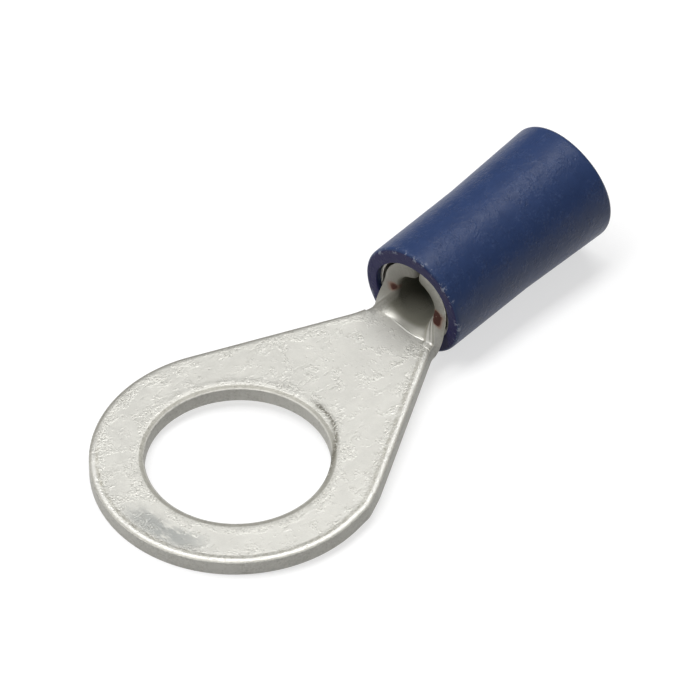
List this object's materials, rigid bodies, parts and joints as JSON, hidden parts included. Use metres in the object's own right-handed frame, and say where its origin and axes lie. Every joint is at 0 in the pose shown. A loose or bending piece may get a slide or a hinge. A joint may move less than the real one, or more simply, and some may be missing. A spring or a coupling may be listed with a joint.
{
  "type": "insulated ring terminal",
  "caption": "Tinned copper ring tongue with a rolled wire barrel under a blue vinyl sleeve, crimped on a wire end and held by a stud.",
  "frame": {"origin": "centre of the stud hole on the tongue's underside", "axes": "+Z along the stud hole's axis, out of the tongue's upper side; +X toward the wire entry, along the barrel"},
  "size_m": [0.0286, 0.0134, 0.006],
  "materials": {
    "tinned_copper": "satin tin plate over copper sheet, with fine pits and bare copper at the shoulders",
    "support_metal": "bright tin plate",
    "blue_vinyl": "satin dark blue vinyl, finely mottled"
  },
  "bodies": {
    "root": {"terminal": "tinned_copper", "support_sleeve": "support_metal", "insulation_sleeve": "blue_vinyl"}
  },
  "joints": []
}
